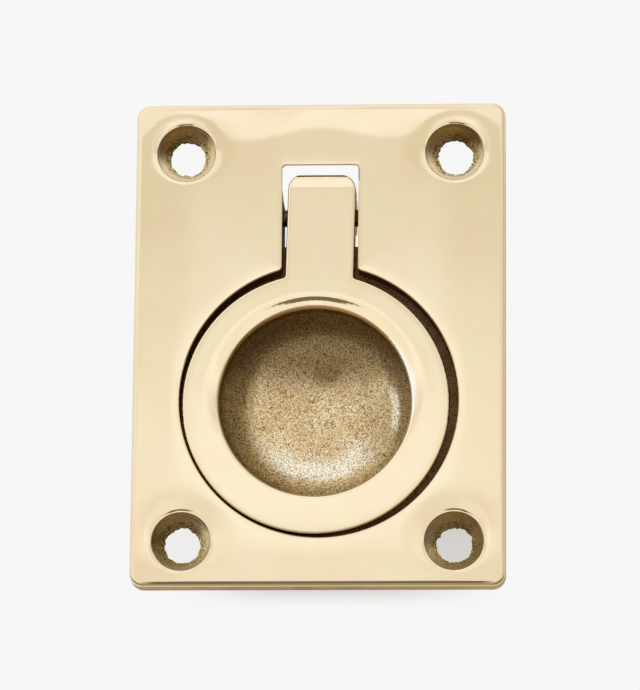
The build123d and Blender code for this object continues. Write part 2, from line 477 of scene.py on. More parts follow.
@dataclass(frozen=True)
class BoreBrass(Finish):
    """The countersinks: turned smooth near the face, rough and spotted down by the throat, with painted
    shade over the upper left of each.
    """

    turned: Colour = (0.98, 0.80, 0.48)
    olive: Colour = (1.0, 0.80, 0.34)
    spot: Colour = (0.09, 0.055, 0.02)
    # Painted shade for the upper-left inside of each countersink.
    sooty: Colour = (0.25, 0.17, 0.09)
    rough_top: float = 0.9
    turned_from: float = 1.9
    spacing: tuple[float, float] = (34.6, 51.1)
    radius: float = 3.2

    def surface(self, graph: Graph, place: Signal) -> dict[str, Any]:
        """Rings that follow the cutter above, and dark spots on a greenish ground below, with painted shade
        over the upper left.
        """
        x, y, height = graph.split(place)
        drift = graph.noise(place, 0.7, 3.0)
        off_x = (x - x.math("SIGN") * (self.spacing[0] / 2)) / self.radius
        off_y = (y - y.math("SIGN") * (self.spacing[1] / 2)) / self.radius
        # Painted shade: darker over the upper-left inside of each hole.
        upper_left_shade = (off_y * 0.95 - off_x * 0.35 + (drift - 0.5) * 0.8).step(-0.2, 0.5)
        smooth = (height + (drift - 0.5) * 1.6).step(self.rough_top, self.turned_from)
        rings = graph.noise(graph.stretch(place, (0.25, 0.25, 6.5)), 1.0, 3.0)
        spots = graph.noise(place, 3.4, 4.0, Roughness=0.7)
        dark = spots.step(0.54, 0.44) * (1.0 - smooth * 0.85)
        ground = graph.mix(upper_left_shade * 0.88, graph.mix(smooth, self.olive, self.turned), self.sooty)
        return {
            "Base Color": graph.mix(dark * 0.8 + (1.0 - rings) * smooth * 0.2, ground, self.spot),
            "Roughness": 0.46 - smooth * 0.2 + dark * 0.15,
            "Normal": self.bump(graph, rings * smooth * 0.3 + spots * (1.0 - smooth * 0.9), 0.03),
        }


@dataclass(frozen=True)
class CastSkin(Finish):
    """The back as it came from the sand: matt gold, grainy, with darker stains."""

    clean: Colour = (0.62, 0.48, 0.26)
    stained: Colour = (0.33, 0.23, 0.11)
    roughness: float = 0.42
    relief: float = 0.05

    def surface(self, graph: Graph, place: Signal) -> dict[str, Any]:
        """Sand grain in the normal, and stains that gather in its low spots."""
        grain = graph.noise(place, 3.6, 6.0, Roughness=0.7)
        lumps = graph.noise(place, 0.9, 3.0)
        stain = graph.noise(place, 0.22, 4.0).step(0.4, 0.7)
        low = grain.step(0.56, 0.4)
        shade = graph.mix(stain * 0.6 + low * 0.4, self.clean, self.stained)
        return {
            "Base Color": shade,
            "Roughness": self.roughness + low * 0.2 + lumps * 0.08,
            "Normal": self.bump(graph, grain * 0.6 + lumps * 0.7, self.relief),
        }


@dataclass(frozen=True)
class DrawnPin(Finish):
    """A drawn brass pin, with marks round it and a dark skin, partly patina and partly painted shade."""

    # Both colours are partly patina and partly painted shade, for a pin that sits in shade behind the
    # plate.
    metal: Colour = (0.22, 0.155, 0.08)
    dull: Colour = (0.06, 0.04, 0.02)

    def surface(self, graph: Graph, place: Signal) -> dict[str, Any]:
        """Fine rings round the pin and a dark skin where it isn't worn bright."""
        rings = graph.noise(graph.stretch(place, (6.0, 0.4, 0.4)), 1.0, 4.0)
        skin = graph.noise(place, 1.2, 4.0).step(0.4, 0.62)
        return {
            "Base Color": graph.mix(skin * 0.7 + rings * 0.2, self.metal, self.dull),
            "Roughness": 0.3 + skin * 0.2 + rings * 0.08,
            "Normal": self.bump(graph, rings, 0.01),
        }


# Meshes in millimetres


def in_blocks(plan: Array, work: Any, block: int = 1500) -> Array:
    """Runs work on a few points at a time, so that its tables stay small.

    Args:
        plan: points, one row each.
        work: a function from some of the points to one value each.
        block: how many points it takes at a time.

    Returns:
        The values of all points.
    """
    parts = [work(plan[i : i + block]) for i in range(0, len(plan), block)]
    return np.concatenate(parts) if parts else np.zeros(0)


@dataclass(frozen=True)
class Outline:
    """Closed loops of straight edges in plan, each edge from one row of start to one of end."""

    start: Array
    end: Array

    def distance(self, plan: Array) -> Array:
        """How far each point is from the nearest edge."""
        along = self.end - self.start
        square = np.maximum((along**2).sum(1), 1e-12)

        def work(part: Array) -> Array:
            """The distance of a few points."""
            off = part[:, None] - self.start
            share = np.clip((off * along).sum(2) / square, 0.0, 1.0)
            return np.linalg.norm(off - share[:, :, None] * along, axis=2).min(1)

        return in_blocks(plan, work)

    def holds(self, plan: Array) -> Array:
        """Whether each point is inside, by the number of edges to its right."""
        rise = self.end[:, 1] - self.start[:, 1]
        run = self.end[:, 0] - self.start[:, 0]
        slant = np.divide(run, rise, out=np.zeros_like(run), where=rise != 0)

        def work(part: Array) -> Array:
            """Whether each of a few points is inside."""
            x, y = part[:, :1], part[:, 1:]
            passed = (self.start[:, 1] <= y) != (self.end[:, 1] <= y)
            meets = self.start[:, 0] + (y - self.start[:, 1]) * slant
            return (passed & (x < meets)).sum(1) % 2 == 1

        return in_blocks(plan, work).astype(bool)

    def beside(self, distance: float, spacing: float) -> Array:
        """Points at one distance on both sides of the edges, about a spacing apart."""
        found = []
        for start, end in zip(self.start, self.end):
            length = float(np.linalg.norm(end - start))
            if length < 1e-6:
                continue
            count = max(1, round(length / spacing))
            shares = (np.arange(count) + 0.5) / count
            away = np.array([end[1] - start[1], start[0] - end[0]]) / length * distance
            line = start + shares[:, None] * (end - start)
            found += [line + away, line - away]
        return np.concatenate(found)

    def parts(self) -> list["Outline"]:
        """Its separate loops, the longest first."""
        keys = np.round(np.vstack([self.start, self.end]) / 1e-4).astype(np.int64)
        _, ids = np.unique(keys, axis=0, return_inverse=True)
        a, b = ids.reshape(2, -1)
        label = np.arange(ids.max() + 1)
        while True:
            low = np.minimum(label[a], label[b])
            if (low == label[a]).all() and (low == label[b]).all():
                break
            np.minimum.at(label, a, low)
            np.minimum.at(label, b, low)
        groups = [Outline(self.start[label[a] == g], self.end[label[a] == g]) for g in np.unique(label[a])]
        return sorted(groups, key=lambda o: -np.linalg.norm(o.end - o.start, axis=1).sum())


@dataclass(frozen=True)
class Level:
    """A plane that is flat or leans slightly: all points with normal . point = offset."""

    normal: Array
    offset: float

    @classmethod
    def flat(cls, height: float) -> "Level":
        """A flat level at one height."""
        return cls(np.array([0.0, 0.0, 1.0]), height)

    def height(self, plan: Array) -> Array:
        """The plane's Z at points in plan."""
        return (self.offset - plan @ self.normal[:2]) / self.normal[2]

    def away(self, points: Array) -> Array:
        """How far points stand off the plane."""
        return points @ self.normal - self.offset


@dataclass(frozen=True)
class Shell:
    """A triangle mesh in millimetres that is cut, refilled and joined.

    Attributes:
        points: its points, one row each.
        faces: the numbers of the three points of each face.
        grain: points closer than about this are made one.
        tolerance: how far from a level a point still lies in it.
    """

    points: Array
    faces: Array
    grain: float = 1e-4
    tolerance: float = 2e-3

    @classmethod
    def of_mesh(cls, mesh: bpy.types.Mesh) -> "Shell":
        """A welded copy of a mesh that is in metres."""
        mesh.calc_loop_triangles()
        points = np.empty(len(mesh.vertices) * 3)
        faces = np.empty(len(mesh.loop_triangles) * 3, np.int64)
        mesh.vertices.foreach_get("co", points)
        mesh.loop_triangles.foreach_get("vertices", faces)
        return cls(points.reshape(-1, 3) / MM, faces.reshape(-1, 3)).welded()

    def welded(self) -> "Shell":
        """The same shell with points that lie together made one."""
        keys = np.round(self.points / self.grain).astype(np.int64)
        _, first, back = np.unique(keys, axis=0, return_index=True, return_inverse=True)
        faces = back.reshape(-1)[self.faces]
        a, b, c = faces.T
        return Shell(self.points[first], faces[(a != b) & (b != c) & (c != a)])

    def crosses(self) -> Array:
        """The cross product of two sides of each face: its normal times twice its area."""
        a, b, c = (self.points[self.faces[:, i]] for i in range(3))
        return np.cross(b - a, c - a)

    def normals(self) -> Array:
        """The unit normal of each face."""
        cross = self.crosses()
        return cross / np.maximum(np.linalg.norm(cross, axis=1, keepdims=True), 1e-12)

    def centres(self) -> Array:
        """The middle of each face."""
        return self.points[self.faces].mean(1)

    def kept(self, chosen: Array) -> "Shell":
        """Only the chosen faces."""
        return Shell(self.points, self.faces[chosen])

    def joined(self, other: "Shell") -> "Shell":
        """This shell and another as one welded shell."""
        points = np.vstack([self.points, other.points])
        faces = np.vstack([self.faces, other.faces + len(self.points)])
        return Shell(points, faces).welded()

    def on(self, level: Level) -> Array:
        """Which points lie in a level."""
        return np.abs(level.away(self.points)) < self.tolerance

    def open_edges(self, level: Level) -> Array:
        """The edges with one face only that lie in a level, as pairs of point numbers."""
        pairs = np.sort(self.faces[:, [0, 1, 1, 2, 2, 0]].reshape(-1, 2), axis=1)
        edges, uses = np.unique(pairs, axis=0, return_counts=True)
        edges = edges[uses == 1]
        return edges[self.on(level)[edges].all(1)]

    def outline(self, edges: Array) -> Outline:
        """Edges of the shell in plan."""
        return Outline(self.points[edges[:, 0], :2], self.points[edges[:, 1], :2])

    def filled(self, level: Level, inner: Array, upward: bool) -> "Shell":
        """Closes the openings in a level with new faces.

        Args:
            level: the plane of the openings.
            inner: more points in plan that the new faces use.
            upward: whether the new faces look up.

        Returns:
            The shell with the new faces at the end.
        """
        edges = self.open_edges(level)
        rim = np.unique(edges)
        plan = np.vstack([self.points[rim, :2], inner])
        numbers = np.searchsorted(rim, edges)
        corners = [Vector(p) for p in plan.tolist()]
        made = delaunay_2d_cdt(corners, numbers.tolist(), [], 0, 1e-6)
        source = np.array([group[0] if group else -1 for group in made[3]])
        faces = source[np.array([f for f in made[2] if len(f) == 3])]
        faces = faces[(faces >= 0).all(1)]
        faces = faces[self.outline(edges).holds(plan[faces].mean(1))]
        a, b, c = plan[faces].transpose(1, 0, 2)
        across = np.cross(b - a, c - a)
        solid = np.abs(across) > 1e-9
        faces, wrong = faces[solid], (across[solid] < 0) == upward
        faces[wrong] = faces[wrong][:, ::-1]
        numbers = np.concatenate([rim, len(self.points) + np.arange(len(inner))])
        raised = np.column_stack([inner, level.height(inner)]) if len(inner) else np.zeros((0, 3))
        return Shell(np.vstack([self.points, raised]), np.vstack([self.faces, numbers[faces]]))

    def mesh(self, name: str) -> bpy.types.Mesh:
        """The shell as a Blender mesh in metres."""
        made = bpy.data.meshes.new(name)
        made.from_pydata((self.points * MM).tolist(), [], self.faces.tolist())
        made.update()
        return made


@dataclass(frozen=True)
class Fall:
    """How polishing wears a face down beside an edge.

    Attributes:
        depth: how deep the wear is at the edge.
        reach: the distance at which it has faded to about a third.
        tilt: how much deeper the wear is towards the hinge, as a share of the depth.
        skew: how much deeper it is towards the right, as a share of the depth.
    """

    depth: float
    reach: float
    tilt: float = 0.0
    skew: float = 0.0

    def fade(self, gap: Array) -> Array:
        """The share of the wear that is left at some distances from the edge."""
        return np.exp(-gap / self.reach)

    def drop(self, gap: Array, aside: Array) -> Array:
        """How far the face is worn down at some distances from the edge.

        Args:
            gap: the distance from the edge, below 0 past the edge.
            aside: where the points lie across and along the rim, from -1 to 1.

        Returns:
            The depth at each point.
        """
        share = np.maximum(1 + aside @ (self.skew, self.tilt), 0.0)
        return self.depth * share * self.fade(gap)


@dataclass(frozen=True)
class Roll(Fall):
    """Wear that ends for good at its reach, the more suddenly the smaller its power."""

    power: float = 3.0

    def fade(self, gap: Array) -> Array:
        """The share of the wear that is left, none past the reach."""
        return np.maximum(1 - gap / self.reach, 0.0) ** self.power


@dataclass(frozen=True)
class SideWear:
    """Wear along the four sides of a plate, each side fading on its own.

    Attributes:
        middle: the middle of the flat face.
        half: half its width and half its length.
        sides: the wear along the left, right and lower sides.
        top: the wear along the upper side.
        wave: how much the upper side's wear comes and goes, as a share of it.
        wave_length: the length of one such wave.
        wave_start: where a wave is at its deepest.
        overrun: how far past its edge a side's wear still grows.
    """

    middle: tuple[float, float]
    half: tuple[float, float]
    sides: Fall
    top: Fall
    wave: float = 0.3
    wave_length: float = 18.8
    wave_start: float = 9.3
    overrun: float = 0.3

    def drop(self, plan: Array) -> Array:
        """How far the sides are worn down at points in plan."""
        off = plan - self.middle
        aside = off / self.half
        x, y = off.T
        gaps = (self.half[0] - np.abs(x), self.half[1] + y, self.half[1] - y)
        beside, below, above = (np.maximum(gap, -self.overrun) for gap in gaps)
        swing = np.cos(2 * math.pi * (plan[:, 0] - self.wave_start) / self.wave_length)
        worn = self.sides.drop(beside, aside) + self.sides.drop(below, aside)
        return worn + self.top.drop(above, aside) * (1 + self.wave * swing)


@dataclass(frozen=True)
class PolishField:
    """The pillowing that a buffing wheel leaves: a face falls away towards each edge."""

    rims: list[tuple[Outline, bool, tuple[Fall, ...]]]
    sides: SideWear | None = None
    overrun: float = 0.3
    sway: float = 0.0025
    sway_length: float = 17.0

    def drop(self, plan: Array) -> Array:
        """How far the face is worn down.

        Args:
            plan: points in plan.

        Returns:
            The depth at each point, 0 or more.
        """
        total = self.sway * (2 + self._sway(plan))
        for outline, is_outside, falls in self.rims:
            low, high = outline.start.min(0), outline.start.max(0)
            aside = np.clip((2 * plan - low - high) / (high - low), -1.0, 1.0)
            gap = outline.distance(plan)
            beyond = ~outline.holds(plan) if is_outside else outline.holds(plan)
            gap[beyond] = np.maximum(-gap[beyond], -self.overrun)
            total = total + sum(fall.drop(gap, aside) for fall in falls)
        return total + self.sides.drop(plan) if self.sides else total

    def _sway(self, plan: Array) -> Array:
        """A slow unevenness of a hand-held polish, between -2 and 2."""
        x, y = plan.T * (2 * math.pi / self.sway_length)
        return np.sin(x + 0.7 * np.sin(0.6 * y)) + np.cos(0.8 * y + 0.5 * np.sin(0.9 * x))

    def slope(self, plan: Array, reach: float = 0.008) -> Array:
        """How the drop grows along X and Y, one row for each point."""
        east, north = np.array([reach, 0.0]), np.array([0.0, reach])
        along = self.drop(plan + east) - self.drop(plan - east)
        across = self.drop(plan + north) - self.drop(plan - north)
        return np.column_stack([along, across]) / (2 * reach)


@dataclass
class PolishedFace:
    """A flat face that gets finer triangles and its pillowing."""

    level: Level
    distances: tuple[float, ...]
    fineness: float
    spacing: float

    def inner_points(self, outline: Outline) -> Array:
        """Points for the new face: rows beside each edge, then an even spread.

        Args:
            outline: the edges of the face.

        Returns:
            The points in plan.
        """
        rows = []
        for distance in self.distances:
            row = outline.beside(distance, self.fineness * (0.6 + distance))
            row = row[outline.holds(row)]
            rows.append(row[outline.distance(row) > distance * 0.97])
        low, high = outline.start.min(0), outline.start.max(0)
        xs = np.arange(low[0], high[0], self.spacing)
        ys = np.arange(low[1], high[1], self.spacing * 0.87)
        grid = np.array([(x + self.spacing / 2 * (j % 2), y) for j, y in enumerate(ys) for x in xs])
        grid = grid[outline.holds(grid)]
        rows.append(grid[outline.distance(grid) > self.distances[-1] + self.spacing * 0.6])
        return np.concatenate(rows)

    def refill(self, shell: Shell, gone: Array) -> Shell:
        """Takes faces out and closes the level again with fine triangles.

        Args:
            shell: the shell that has the face.
            gone: which of its faces go.

        Returns:
            The shell with the new face.
        """
        cut = shell.kept(~gone)
        outline = cut.outline(cut.open_edges(self.level))
        return cut.filled(self.level, self.inner_points(outline), True)

    def worn(self, shell: Shell, polish: PolishField, fade: float) -> tuple[Shell, Array, Array]:
        """Lowers the face by its polish.

        Args:
            shell: the shell, with the face still flat.
            polish: how far the face is worn down.
            fade: how deep under the face nothing is worn any more.

        Returns:
            The worn shell, which points were on the face, and their normals.
        """
        depth = -self.level.away(shell.points)
        share = np.clip(1 - depth / fade, 0.0, 1.0)
        moved = shell.points.copy()
        near = share > 0
        moved[near, 2] -= polish.drop(shell.points[near, :2]) * share[near]
        on = shell.on(self.level)
        flat = shell.faces[on[shell.faces].all(1)]
        middle = np.zeros((len(shell.points), 3))
        count = np.zeros(len(shell.points))
        centres = shell.points[flat].mean(1)
        for corner in range(3):
            np.add.at(middle, flat[:, corner], centres)
            np.add.at(count, flat[:, corner], 1)
        on &= count > 0
        inward = middle[on] / count[on, None] - shell.points[on]
        inward = inward[:, :2] / np.maximum(np.linalg.norm(inward[:, :2], axis=1, keepdims=True), 1e-9)
        slope = polish.slope(shell.points[on, :2] + inward * 0.02)
        tilt = self.level.normal[:2] / self.level.normal[2]
        normals = np.column_stack([slope + tilt, np.ones(on.sum())])
        normals /= np.linalg.norm(normals, axis=1, keepdims=True)
        return Shell(moved, shell.faces), on, normals


def linked(name: str, data: Any) -> bpy.types.Object:
    """A new object in the scene."""
    made = bpy.data.objects.new(name, data)
    bpy.context.scene.collection.objects.link(made)
    return made


def evaluated_mesh(made: bpy.types.Object) -> bpy.types.Mesh:
    """A new mesh that holds what an object's modifiers make of it."""
    bpy.context.view_layer.update()
    return bpy.data.meshes.new_from_object(made.evaluated_get(bpy.context.evaluated_depsgraph_get()))


def dressed_mesh(
    name: str,
    shell: Shell,
    on: Array,
    normals: Array,
    regions: Array,
    finishes: list[bpy.types.Material],
    crease: float = 32.0,
    turn_limit: float = 40.0,
) -> bpy.types.Object:
    """Makes the object of a shell, with smooth shading that keeps its creases.

    Args:
        name: the object's name.
        shell: its mesh.
        on: which points lie on the polished face.
        normals: the exact normals of those points.
        regions: the material slot of each face.
        finishes: the materials, in slot order.
        crease: the angle in degrees from which an edge stays sharp.
        turn_limit: the angle in degrees up to which a normal gives way to the exact one.

    Returns:
        The object, at the origin.
    """
    mesh = shell.mesh(name)
    for finish in finishes:
        mesh.materials.append(finish)
    mesh.polygons.foreach_set("material_index", regions.astype(np.int32))
    mesh.shade_smooth()
    mesh.set_sharp_from_angle(angle=math.radians(crease))
    made = linked(name, mesh)
    weigh = made.modifiers.new("even_shading", "WEIGHTED_NORMAL")
    weigh.keep_sharp = True
    weigh.weight = 100
    shaded = evaluated_mesh(made)
    made.modifiers.clear()
    corners = np.empty(len(shaded.loops) * 3)
    shaded.corner_normals.foreach_get("vector", corners)
    corners = corners.reshape(-1, 3)
    users = np.empty(len(shaded.loops), np.int64)
    shaded.loops.foreach_get("vertex_index", users)
    exact = np.zeros((len(shell.points), 3))
    exact[on] = normals
    fits = on[users] & ((exact[users] * corners).sum(1) > math.cos(math.radians(turn_limit)))
    corners[fits] = exact[users[fits]]
    shaded.normals_split_custom_set(corners.tolist())
    shaded.name = name
    made.data = shaded
    return made


# The casting


@dataclass
class ScrewHoles:
    """Four countersunk screw holes, left rough and dark-spotted inside by the casting."""

    spacing_x: float = 34.6
    spacing_y: float = 51.1
    thickness: float = 3.0
    cone_radius: float = 3.74
    cone_fall: float = 1.95
    rim_round: float = 0.1
    rim_slope: float = 0.34
    throat_radius: float = 2.25
    shoulder: float = 0.12
    ragged: float = 0.6
    grain: float = 0.03
    seed: float = 3.0
    segments: int = 96
    rows: int = 34

    def sizes(self) -> dict[str, float]:
        """The sizes, by the names of the geometry tree's inputs."""
        found = {name: size for name, size in vars(self).items() if isinstance(size, float)}
        return {name.replace("_", " ").title(): size for name, size in found.items()}

    def off(self, points: Array) -> Array:
        """Points in plan, each measured from the middle of the nearest hole."""
        return points[:, :2] - np.sign(points[:, :2]) * (self.spacing_x / 2, self.spacing_y / 2)

    def tree(self) -> bpy.types.NodeTree:
        """The geometry tree that turns one hole, sets it at four corners and roughens it.

        Returns:
            A tree with a named input for each size.
        """
        tree = bpy.data.node_groups.new("screw_holes", "GeometryNodeTree")
        for name in self.sizes():
            tree.interface.new_socket(name, in_out="INPUT", socket_type="NodeSocketFloat")
        tree.interface.new_socket("Finish", in_out="INPUT", socket_type="NodeSocketMaterial")
        tree.interface.new_socket("Mesh", in_out="OUTPUT", socket_type="NodeSocketGeometry")
        graph = Graph(tree)
        group = graph.node("NodeGroupInput")
        given = [group.output(name) for name in self.sizes()]
        spacing_x, spacing_y, thickness, cone_radius, cone_fall, rim_round = given[:6]
        rim_slope, throat_radius, shoulder, ragged, grain, seed = given[6:]
        cells = {"Size X": 1.0, "Size Y": 1.0, "Vertices X": self.segments + 1, "Vertices Y": self.rows}
        sheet = graph.node("GeometryNodeMeshGrid", cells)
        across, along, _ = graph.split(graph.node("GeometryNodeInputPosition"))
        turn = (across + 0.5) * (2 * math.pi)
        run = (along + 0.5) ** 1.3 * (thickness / cone_fall + rim_round)
        radius = cone_radius + rim_round - run
        rounded = radius.math("SMOOTH_MAX", throat_radius, shoulder)
        cone = (run - rim_round) * cone_fall
        sunk = (run * rim_slope).math("SMOOTH_MAX", cone, 0.12)
        height = (thickness - sunk) | 0.0
        spot = {0: rounded * turn.math("COSINE"), 1: rounded * turn.math("SINE"), 2: height}
        spot = graph.node("ShaderNodeCombineXYZ", spot)
        turned = graph.node("GeometryNodeSetPosition", {"Geometry": sheet, "Position": spot})
        closed = graph.node("GeometryNodeMergeByDistance", {"Geometry": turned, "Distance": 1e-3})
        cells = {"Size X": spacing_x, "Size Y": spacing_y, "Vertices X": 2, "Vertices Y": 2}
        corners = graph.node("GeometryNodeMeshGrid", cells)
        four = graph.node("GeometryNodeInstanceOnPoints", {"Points": corners, "Instance": closed})
        real = graph.node("GeometryNodeRealizeInstances", {"Geometry": four})
        place = graph.node("GeometryNodeInputPosition")
        x, y, z = graph.split(place)
        off_x = x - x.math("SIGN") * spacing_x * 0.5
        off_y = y - y.math("SIGN") * spacing_y * 0.5
        reach = (off_x * off_x + off_y * off_y).math("SQRT") | 0.001
        coarse = graph.noise(place, 1.1, 4.0, Roughness=0.75, W=seed)
        fine = graph.noise(place, 2.4, W=seed + 5.0)
        at_throat = (reach - throat_radius).step(0.75, 0.1)
        push = (coarse - 0.5) * ragged * 2.0 * at_throat + (fine - 0.5) * grain * 2.0
        push = push * z.step(2.75, 2.3)
        offset = {0: off_x / reach * push, 1: off_y / reach * push, 2: 0.0}
        offset = graph.node("ShaderNodeCombineXYZ", offset)
        rough = graph.node("GeometryNodeSetPosition", {"Geometry": real, "Offset": offset})
        look = {"Geometry": rough, "Material": group.output("Finish")}
        finish = graph.node("GeometryNodeSetMaterial", look)
        graph.node("NodeGroupOutput", {"Mesh": finish})
        return tree

    def shell(self, finish: bpy.types.Material) -> Shell:
        """The inside of the four holes.

        Args:
            finish: the material of the holes.

        Returns:
            Their surfaces, open at the face and at the back.
        """
        holder = linked("screw_holes", bpy.data.meshes.new("screw_holes"))
        tree = self.tree()
        modifier = holder.modifiers.new("screw_holes", "NODES")
        modifier.node_group = tree
        values = {**self.sizes(), "Finish": finish}
        for item in tree.interface.items_tree:
            if item.in_out == "INPUT":
                modifier[item.identifier] = values[item.name]
        made = evaluated_mesh(holder)
        bpy.data.objects.remove(holder)
        made.transform(Matrix.Scale(MM, 4))
        shell = Shell.of_mesh(made)
        outward = (self.off(shell.centres()) * shell.normals()[:, :2]).sum()
        return Shell(shell.points, shell.faces[:, ::-1] if outward > 0 else shell.faces)

    def near(self, points: Array, reach: float) -> Array:
        """Whether points lie within a reach of a hole's middle, in plan."""
        return np.linalg.norm(self.off(points), axis=1) < reach


@dataclass
class PlateCasting:
    """The one-piece body: face, edge, holes, keyhole recess, finger bowl, channel and back."""

    face_height: float = 3.0
    middle_y: float = 0.44
    half_length: float = 31.75
    half_width: float = 23.8
    bowl_y: float = -7.19
    mouth_radius: float = 13.78
    recess_radius: float = 17.84
    slot_half_width: float = 4.9
    slot_top: float = 24.06
    holes: ScrewHoles = field(default_factory=ScrewHoles)
    edge_round: float = 0.6
    side_fall: Fall = Fall(0.12, 2.5)
    top_fall: Fall = Fall(0.183, 2.5, skew=-0.15)
    wear_depth: float = 2.0
    hole_falls: tuple[Fall, ...] = (Roll(0.03, 0.5), Fall(0.072, 1.35, tilt=0.9))
    recess_falls: tuple[Fall, ...] = (Fall(0.012, 0.5), Fall(0.026, 6.0))

    # Where the finishes meet
    rim_band: float = 0.7
    polished_edge: float = 0.45
    slack: float = 0.02
    recess_slack: float = 0.1
    bowl_top: float = 8.0

    def build(self) -> bpy.types.Object:
        """Builds the casting, which rides on the plate's body in place of its CAD node."""
        patina = ((0.06, 0.034, 0.017), (0.17, 0.10, 0.05), (0.24, 0.15, 0.075))
        finishes = [
            PolishedBrass("polished_face").material(),
            BoreBrass("turned_bore").material(),
            AntiqueBrass("dark_recess", *patina, cover=0.8, roughness=0.42, relief=0.012).material(),
            AntiqueBrass("antique_bowl", cover=0.8, grain=5.4, roughness=0.27, aging=0.95).material(),
            CastSkin("sand_cast_back").material(),
            CastSkin("filed_edge", (0.68, 0.47, 0.21), (0.42, 0.28, 0.12), 0.2, 0.008).material(),
        ]
        shell = Shell.of_mesh(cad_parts["plate"].data)
        face, back = Level.flat(self.face_height), Level.flat(0.0)
        is_front = shell.on(face)[shell.faces].all(1)
        is_back = shell.on(back)[shell.faces].all(1) & (shell.normals()[:, 2] < -0.5)
        is_hole = self.holes.near(shell.points, self.holes.cone_radius + self.slack)[shell.faces].all(1)
        shell = shell.kept(~(is_front | is_back | is_hole))
        shell = shell.joined(self.holes.shell(finishes[Region.BORE.value]))
        shell = shell.filled(back, np.zeros((0, 2)), False)
        rows = (0.06, 0.13, 0.21, 0.3, 0.41, 0.54, 0.7, 0.9, 1.2, 1.6, 2.1, 2.7, 3.4)
        polished = PolishedFace(face, rows, 0.42, 1.1)
        outlines = shell.outline(shell.open_edges(face)).parts()
        shell = polished.refill(shell, np.zeros(len(shell.faces), bool))
        half = (self.half_width - self.edge_round, self.half_length - self.edge_round)
        sides = SideWear((0.0, self.middle_y), half, self.side_fall, self.top_fall)
        rims = [(outlines[1], False, self.recess_falls)]
        rims += [(rim, False, self.hole_falls) for rim in outlines[2:]]
        log.info("plate face: %d rims", len(rims))
        regions = self.regions(shell)
        worn, on, exact = polished.worn(shell, PolishField(rims, sides), self.wear_depth)
        made = dressed_mesh("plate_casting", worn, on, exact, regions, finishes)
        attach(made, "plate")
        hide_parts("plate")
        log.info("plate_casting: %d triangles", len(made.data.polygons))
        return made

    def regions(self, shell: Shell) -> Array:
        """The finish of each face of the casting, by where it lies and how it looks.

        Args:
            shell: the casting before it is worn.

        Returns:
            The slot number of each face.
        """
        middle, normal = shell.centres(), shell.normals()
        x, y, z = middle.T
        out = np.full(len(middle), Region.SKIN.value)
        off = np.column_stack([x, y - self.bowl_y])
        reach = np.linalg.norm(off, axis=1)
        inward = -(off * normal[:, :2]).sum(1) / np.maximum(reach, 1e-6)
        looks_in = (normal[:, 2] > 0.01) | (inward > 0.2)
        in_round = (reach < self.recess_radius + self.recess_slack) & looks_in
        in_slot = (np.abs(x) < self.slot_half_width + self.recess_slack) & (y > 0) & (y < self.slot_top)
        out[(in_round | in_slot) & (z < self.face_height)] = Region.RECESS.value
        in_bowl = (reach < self.mouth_radius + self.slack) & looks_in & (z < -0.01)
        out[in_bowl & (~in_slot | (y < self.bowl_top))] = Region.BOWL.value
        out[normal[:, 2] < -0.5] = Region.SKIN.value
        side = np.abs(x) > self.half_width - self.rim_band
        side |= np.abs(y - self.middle_y) > self.half_length - self.rim_band
        out[side & (z > 0.0)] = Region.EDGE.value
        out[side & (z > self.face_height - self.polished_edge)] = Region.FACE.value
        out[z > self.face_height - 0.15] = Region.FACE.value
        near = self.holes.near(middle, self.holes.cone_radius + 0.3)
        out[near & (z > 0.005) & (z < self.face_height - 1e-3)] = Region.BORE.value
        return out


@dataclass
class RingPull:
    """The swinging ring: a flat polished band, its stem and the knuckle on the pin."""

    falls_outside: tuple[Fall, ...] = (Fall(0.006, 0.3),)
    falls_inside: tuple[Fall, ...] = (Roll(0.058, 1.65, tilt=3.0, power=2.0),)
    tail_fall: Fall = Roll(0.075, 1.7)
    fade: float = 1.2

    def build(self) -> bpy.types.Object:
        """Builds the ring, which rides on the ring's body in place of its CAD node."""
        shell = Shell.of_mesh(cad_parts["ring"].data)
        areas, normals = np.linalg.norm(shell.crosses(), axis=1), shell.normals()
        widest = int(np.where(normals[:, 2] > 0.9, areas, 0.0).argmax())
        normal = normals[widest]
        level = Level(normal, float(shell.points[shell.faces[widest, 0]] @ normal))
        gone = shell.on(level)[shell.faces].all(1)
        rows = (0.06, 0.13, 0.22, 0.34, 0.48, 0.64, 0.82, 1.0, 1.15, 1.28, 1.4, 1.5, 1.6, 1.7, 1.85, 2.0)
        polished = PolishedFace(level, rows, 0.15, 0.7)
        cut = shell.kept(~gone)
        outer, inner = cut.outline(cut.open_edges(level)).parts()[:2]
        shell = polished.refill(shell, gone)
        rims = [(outer, True, self.falls_outside), (inner, False, self.falls_inside)]
        top, unworn = float(outer.start[:, 1].max()), Fall(0.0, 1.0)
        tail = SideWear((0.0, 0.0), (99.0, top), unworn, self.tail_fall, wave=0.0)
        worn, on, exact = polished.worn(shell, PolishField(rims, tail, sway_length=11.0), self.fade)
        regions = np.zeros(len(worn.faces), int)
        finishes = [RingBrass("polished_ring").material()]
        made = dressed_mesh("ring_pull", worn, on, exact, regions, finishes, crease=40.0)
        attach(made, "ring")
        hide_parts("ring")
        log.info("ring_pull: %d triangles", len(made.data.polygons))
        return made


@dataclass
class HingePin:
    """The pin on which the ring swings, held in the two cheeks."""

    def build(self) -> bpy.types.Object:
        """Gives the CAD pin its finish; it keeps its own shape and node."""
        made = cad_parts["hinge_pin"]
        made.data.materials.clear()
        made.data.materials.append(DrawnPin("drawn_pin").material())
        log.info("hinge_pin: %d triangles", len(made.data.polygons))
        return made


# The studio


